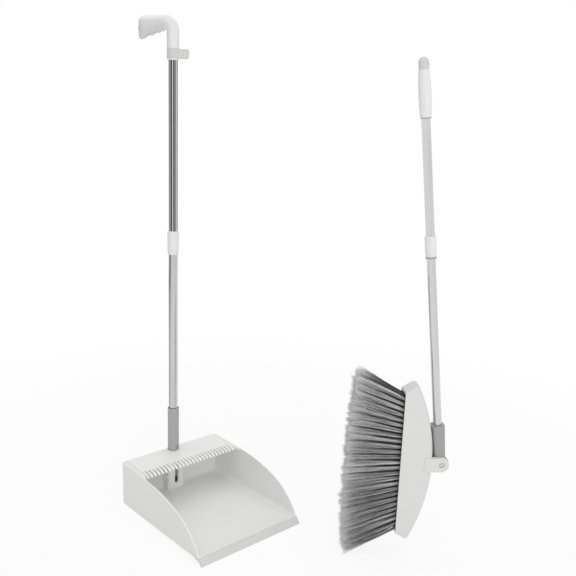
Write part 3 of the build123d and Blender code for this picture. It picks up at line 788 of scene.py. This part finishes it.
bristles = grown(
    "broom_bristles",
    bristle_tree(),
    {
        "Rows": 5,
        "Columns": 26,
        "Filaments": 72,
        "Bed Width": 23 * MM,
        "Bed Length": 268 * MM,
        "Tuft Radius": 2.8 * MM,
        "Tuft Jitter": 0.5 * MM,
        "Tuft Spread": 1.5,
        "Tuft Unevenness": 6.0 * MM,
        "Length": 107 * MM,
        "End Shortening": 8 * MM,
        "Lean": 5 * MM,
        "Flare": 1.34,
        "Row Flare": 1.5,
        "Tip Scatter": 4.0 * MM,
        "Wave": 1.0 * MM,
        "Filament Radius": 0.42 * MM,
        "Backing": (31 * MM, 282 * MM, 3 * MM),
        "Seed": 11,
        "Finish": filament,
    },
)
bristles.data.transform(framed((PIN_DIRECTION, UPWARD, CROWN_DIRECTION), HEAD_MIDDLE))
# The lowest tips are pressed flat, just clear of the floor
for vertex in bristles.data.vertices:
    vertex.co.z = max(vertex.co.z, FLOOR_CLEARANCE)
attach(bristles, "broom_head")
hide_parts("bristles")


def thread_tree():
    """A screw thread: one helix with a blunt ridge."""
    number = "NodeSocketFloat"
    tree = new_tree(
        "connector thread",
        {
            "Turns": number,
            "Radius": number,
            "Height": number,
            "Ridge": number,
            "Finish": "NodeSocketMaterial",
        },
    )
    sizes = put(tree, "NodeGroupInput").outputs
    helix = put(
        tree,
        "GeometryNodeCurveSpiral",
        {
            "Resolution": THREAD_STEPS,
            "Rotations": sizes["Turns"],
            "Start Radius": sizes["Radius"],
            "End Radius": sizes["Radius"],
            "Height": sizes["Height"],
        },
    ).outputs["Curve"]
    ridge = put(
        tree,
        "GeometryNodeCurvePrimitiveCircle",
        {"Resolution": THREAD_SIDES, "Radius": sizes["Ridge"]},
    ).outputs["Curve"]
    thread = put(
        tree, "GeometryNodeCurveToMesh", {"Curve": helix, "Profile Curve": ridge, "Fill Caps": True}
    ).outputs["Mesh"]
    close_tree(tree, thread, sizes["Finish"])
    return tree


thread = grown(
    "connector_thread",
    thread_tree(),
    {
        "Turns": 9.0,
        "Radius": 8.45 * MM,
        "Height": 38 * MM,
        "Ridge": 0.65 * MM,
        "Finish": dark_grey_and_painted_shade,
    },
)
thread.data.transform(Matrix.Translation((0, 0, THREAD_BOTTOM)))
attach(thread, "dustpan")


def plain_piece(name, mesh, finish, body):
    """Finishes a small mesh as a piece of the object that rides one body."""
    shape = bpy.data.meshes.new(name)
    mesh.to_mesh(shape)
    mesh.free()
    shape.materials.append(finish)
    piece = bpy.data.objects.new(name, shape)
    bpy.context.scene.collection.objects.link(piece)
    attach(piece, body)


def bent_bar(mesh, angles, radii, heights, closed=False):
    """Adds a square bar that follows these angles round the Z axis: a ring where it is closed."""
    inner, outer = radii
    low, high = heights
    corners = ((inner, low), (outer, low), (outer, high), (inner, high))
    rings = []
    for angle in angles:
        rings.append([mesh.verts.new((r * math.cos(angle), r * math.sin(angle), z)) for r, z in corners])
    pairs = list(zip(rings, rings[1:]))
    if closed:
        pairs.append((rings[-1], rings[0]))
    else:
        mesh.faces.new(rings[0])
        mesh.faces.new(rings[-1][::-1])
    for ring, following in pairs:
        for i in range(len(corners)):
            mesh.faces.new((ring[i], ring[i - 1], following[i - 1], following[i]))
    bmesh.ops.recalc_face_normals(mesh, faces=mesh.faces)


# A black cylinder of painted shade, which shows as the dark depth at the foot of the boss's window
foot_shade = bmesh.new()
bmesh.ops.create_cone(
    foot_shade, cap_ends=True, segments=FOOT_SHADE_STEPS, radius1=FOOT_SHADE_RADIUS, radius2=FOOT_SHADE_RADIUS, depth=FOOT_SHADE_HEIGHT
)
bmesh.ops.translate(foot_shade, verts=foot_shade.verts, vec=(0, 0, FOOT_SHADE_MIDDLE))
plain_piece("connector_foot_shade", foot_shade, black_painted_shade, "dustpan")

# The polished dome on the head of the pivot bolt
dome = bmesh.new()
bmesh.ops.create_uvsphere(dome, u_segments=DOME_STEPS, v_segments=DOME_ROWS, radius=DOME_RADIUS)
bmesh.ops.scale(dome, verts=dome.verts, vec=(DOME_FLATNESS, 1.0, 1.0))
bolt_frame = framed((PIN_DIRECTION, CROWN_DIRECTION, UPWARD), PIVOT - PIN_DIRECTION * EAR_OUTER)
bmesh.ops.transform(dome, matrix=bolt_frame, verts=dome.verts)
plain_piece("bolt_dome", dome, plated_steel, "broom_head")

# Painted shade for the dark depth of the hanging slot in the end of the L-handle
slot_shade = bmesh.new()
bmesh.ops.create_cone(
    slot_shade,
    cap_ends=True,
    segments=SLOT_STEPS,
    radius1=SLOT_HALF_WIDTH,
    radius2=SLOT_HALF_WIDTH,
    depth=SLOT_SHADE_LENGTH,
)
bmesh.ops.scale(slot_shade, verts=slot_shade.verts, vec=(1.0, SLOT_STRETCH, 1.0))
slot_middle = HANDLE_DIRECTION * (GRIP_END - SLOT_SHADE_DEPTH) + UPWARD * GRIP_END_MIDDLE
slot_frame = framed((UPWARD.cross(HANDLE_DIRECTION), UPWARD, HANDLE_DIRECTION), slot_middle)
bmesh.ops.transform(slot_shade, matrix=slot_frame, verts=slot_shade.verts)
bmesh.ops.recalc_face_normals(slot_shade, faces=slot_shade.faces)
plain_piece("hang_slot_shade", slot_shade, dark_grey_and_painted_shade, "dustpan")

# Dark bars of painted shade where the slits round the connector's latch tongue are, let into its skin on the
# side that faces the front
slits = bmesh.new()
for first, last, low, high in SLITS:
    angles = [math.radians(first + (last - first) * i / SLIT_STEPS) for i in range(SLIT_STEPS + 1)]
    bent_bar(slits, angles, SLIT_RADII, (low, high))
plain_piece("latch_slit_shade", slits, dark_grey_and_painted_shade, "dustpan")


def shade_ring(name, tube_radius, outer, heights, place, finish, body):
    """A thin dark ring round a tube at the mouth of the piece that the tube goes into: painted shade for the
    gap there.
    """
    ring = bmesh.new()
    angles = [2 * math.pi * i / SHADE_RING_STEPS for i in range(SHADE_RING_STEPS)]
    bent_bar(ring, angles, (tube_radius + SHADE_RING_CLEARANCE, outer), heights, closed=True)
    bmesh.ops.transform(ring, matrix=place, verts=ring.verts)
    plain_piece(name, ring, finish, body)


pole_frame = framed((PIN_DIRECTION, POLE_DIRECTION.cross(PIN_DIRECTION), POLE_DIRECTION), PIVOT)
# Painted shade: dark rings for the gaps at the mouths of the broom's sleeve and grip
shade_ring(
    "broom_sleeve_mouth_shade",
    BROOM_TUBE_RADIUS,
    SLEEVE_SHADE_RING_RADIUS,
    (BROOM_SLEEVE_BOTTOM - SLEEVE_SHADE_RING_HEIGHT, BROOM_SLEEVE_BOTTOM),
    pole_frame,
    shade_ring_steel,
    "broom_pole",
)
shade_ring(
    "broom_grip_mouth_shade",
    BROOM_TUBE_RADIUS,
    GRIP_SHADE_RING_RADIUS,
    (BROOM_GRIP_BOTTOM - GRIP_SHADE_RING_HEIGHT, BROOM_GRIP_BOTTOM),
    pole_frame,
    shade_ring_steel,
    "broom_pole",
)
# Painted shade: a thin dark ring for the gap at the connector's top, where the tube goes in
shade_ring(
    "connector_mouth_shade",
    PAN_TUBE_RADIUS,
    CONNECTOR_SHADE_RING_RADIUS,
    (CONNECTOR_TOP, CONNECTOR_TOP + CONNECTOR_SHADE_RING_HEIGHT),
    Matrix(),
    dark_grey_and_painted_shade,
    "dustpan",
)


def showing_ray(tree):
    """1 for the rays that show the studio as it is: the camera's, those of gloss and those through glass."""
    ray = put(tree, "ShaderNodeLightPath").outputs
    seen = put(
        tree, "ShaderNodeMath", {0: ray["Is Camera Ray"], 1: ray["Is Glossy Ray"]}, operation="ADD"
    ).outputs[0]
    return put(
        tree, "ShaderNodeMath", {0: seen, 1: ray["Is Transmission Ray"]}, operation="ADD", use_clamp=True
    ).outputs[0]


# Studio floor: white paper that keeps a faint shadow near the object and fades to plain white further out
floor_mesh = bpy.data.meshes.new("studio floor")
floor_corners = [(-1, -1, 0), (1, -1, 0), (1, 1, 0), (-1, 1, 0)]
floor_mesh.from_pydata([Vector(corner) * FLOOR_REACH for corner in floor_corners], [], [(0, 1, 2, 3)])
floor = bpy.data.objects.new("studio_floor", floor_mesh)
bpy.context.scene.collection.objects.link(floor)
paper, tree = blank_material("white studio paper")
place = put(tree, "ShaderNodeTexCoord").outputs["Object"]
away = put(tree, "ShaderNodeVectorMath", {0: place, 1: SHADOW_MIDDLE}, operation="DISTANCE").outputs["Value"]
share = put(
    tree,
    "ShaderNodeMapRange",
    {
        "Value": away,
        "From Min": SHADOW_FADE_START,
        "From Max": SHADOW_FADE_END,
        "To Min": SHADOW_WHITE,
        "To Max": 1.0,
    },
    interpolation_type="SMOOTHSTEP",
).outputs["Result"]
seen = put(tree, "ShaderNodeMath", {0: showing_ray(tree), 1: share}, operation="MULTIPLY").outputs[0]
dull = put(tree, "ShaderNodeBsdfDiffuse", {"Color": linear("F4F4F4")}).outputs["BSDF"]
bright = put(tree, "ShaderNodeEmission", {"Color": WHITE, "Strength": 1.0}).outputs["Emission"]
mixed = put(tree, "ShaderNodeMixShader", {0: seen, 1: dull, 2: bright}).outputs["Shader"]
put(tree, "ShaderNodeOutputMaterial", {"Surface": mixed})
floor_mesh.materials.append(paper)

# Surround: seen as white, while it lights the object at half of that
world = bpy.data.worlds.new("white studio")
bpy.context.scene.world = world
world.use_nodes = True
tree = world.node_tree
tree.nodes.clear()
around = put(
    tree, "ShaderNodeBackground", {"Color": WHITE, "Strength": SURROUND_LIGHT}
).outputs["Background"]
white = put(tree, "ShaderNodeBackground", {"Color": WHITE, "Strength": 1.0}).outputs["Background"]
mixed = put(tree, "ShaderNodeMixShader", {0: showing_ray(tree), 1: around, 2: white}).outputs["Shader"]
put(tree, "ShaderNodeOutputWorld", {"Surface": mixed})


def soft_lamp(name, place, size, power):
    """A square soft lamp that faces the object and doesn't show in its gloss."""
    lamp = bpy.data.lights.new(name, "AREA")
    lamp.size = size
    lamp.energy = power
    holder = bpy.data.objects.new(name, lamp)
    holder.location = place
    holder.rotation_euler = (LAMP_TARGET - Vector(place)).to_track_quat("-Z", "Y").to_euler()
    holder.visible_glossy = False
    bpy.context.scene.collection.objects.link(holder)


soft_lamp("key lamp", (-2.2, -5.2, 2.2), size=4.2, power=98)
soft_lamp("top lamp", (0.1, -0.1, 9.0), size=13.0, power=405)


def curved_card(name, pole, angles, heights, grey, distance=CARD_DISTANCE):
    """A curved card round a pole, seen only in reflections; its angles count from the camera's side."""
    x, y, towards = pole
    first, last = angles
    rim = [math.radians(towards + first + (last - first) * i / CARD_STEPS) for i in range(CARD_STEPS + 1)]
    corners = [(x + distance * math.cos(a), y + distance * math.sin(a), z) for a in rim for z in heights]
    faces = [(2 * i, 2 * i + 2, 2 * i + 3, 2 * i + 1) for i in range(CARD_STEPS)]
    mesh = bpy.data.meshes.new(name)
    mesh.from_pydata(corners, [], faces)
    card = bpy.data.objects.new(name, mesh)
    bpy.context.scene.collection.objects.link(card)
    felt, tree = blank_material(name + " felt")
    glow = put(tree, "ShaderNodeEmission", {"Color": WHITE, "Strength": grey}).outputs["Emission"]
    put(tree, "ShaderNodeOutputMaterial", {"Surface": glow})
    mesh.materials.append(felt)
    card.visible_camera = False
    card.visible_diffuse = False
    card.visible_transmission = False
    card.visible_shadow = False


# Cards that the pan's tubes reflect as dark and pale lines
curved_card("card_far_left", PAN_POLE, (-122, -46), UPPER_TUBE, grey=0.36)
curved_card("card_left", PAN_POLE, (-46, -22), UPPER_TUBE, grey=0.02)
curved_card("card_middle", PAN_POLE, (1, 24), UPPER_TUBE, grey=0.04)
curved_card("card_right", PAN_POLE, (24, 75), UPPER_TUBE, grey=0.34)
curved_card("card_far_right", PAN_POLE, (98, 160), UPPER_TUBE, grey=0.4)
curved_card("card_lower_left", PAN_POLE, (-122, -58), (0.38, 0.52), grey=0.32)
curved_card("card_lower_middle", PAN_POLE, (-122, -61), (0.28, 0.38), grey=0.7)
curved_card("card_foot_left", PAN_POLE, (-122, -61), (0.06, 0.28), grey=0.9)
# White behind the dark cards, for what the broom's pole reflects
curved_card("card_outside", PAN_POLE, (-124, 162), (0.5, 1.02), grey=1.0, distance=0.37)
# A dark card well behind the pan, which the broom's lower tube reflects
curved_card("card_behind", BROOM_POLE, (-116, -70), (0.0, 0.4), grey=0.0, distance=1.0)

# The photograph's camera
camera_data = bpy.data.cameras.new("photograph")
camera_data.sensor_width = SENSOR_WIDTH
camera_data.lens = SENSOR_WIDTH * FOCAL_PIXELS / FRAME_PIXELS
camera = bpy.data.objects.new("photograph", camera_data)
camera_up = CAMERA_RIGHT.cross(CAMERA_FORWARD)
camera.matrix_world = framed((CAMERA_RIGHT, camera_up, -CAMERA_FORWARD), CAMERA_PLACE)
bpy.context.scene.collection.objects.link(camera)
bpy.context.scene.camera = camera
bpy.context.scene.view_settings.view_transform = "Standard"
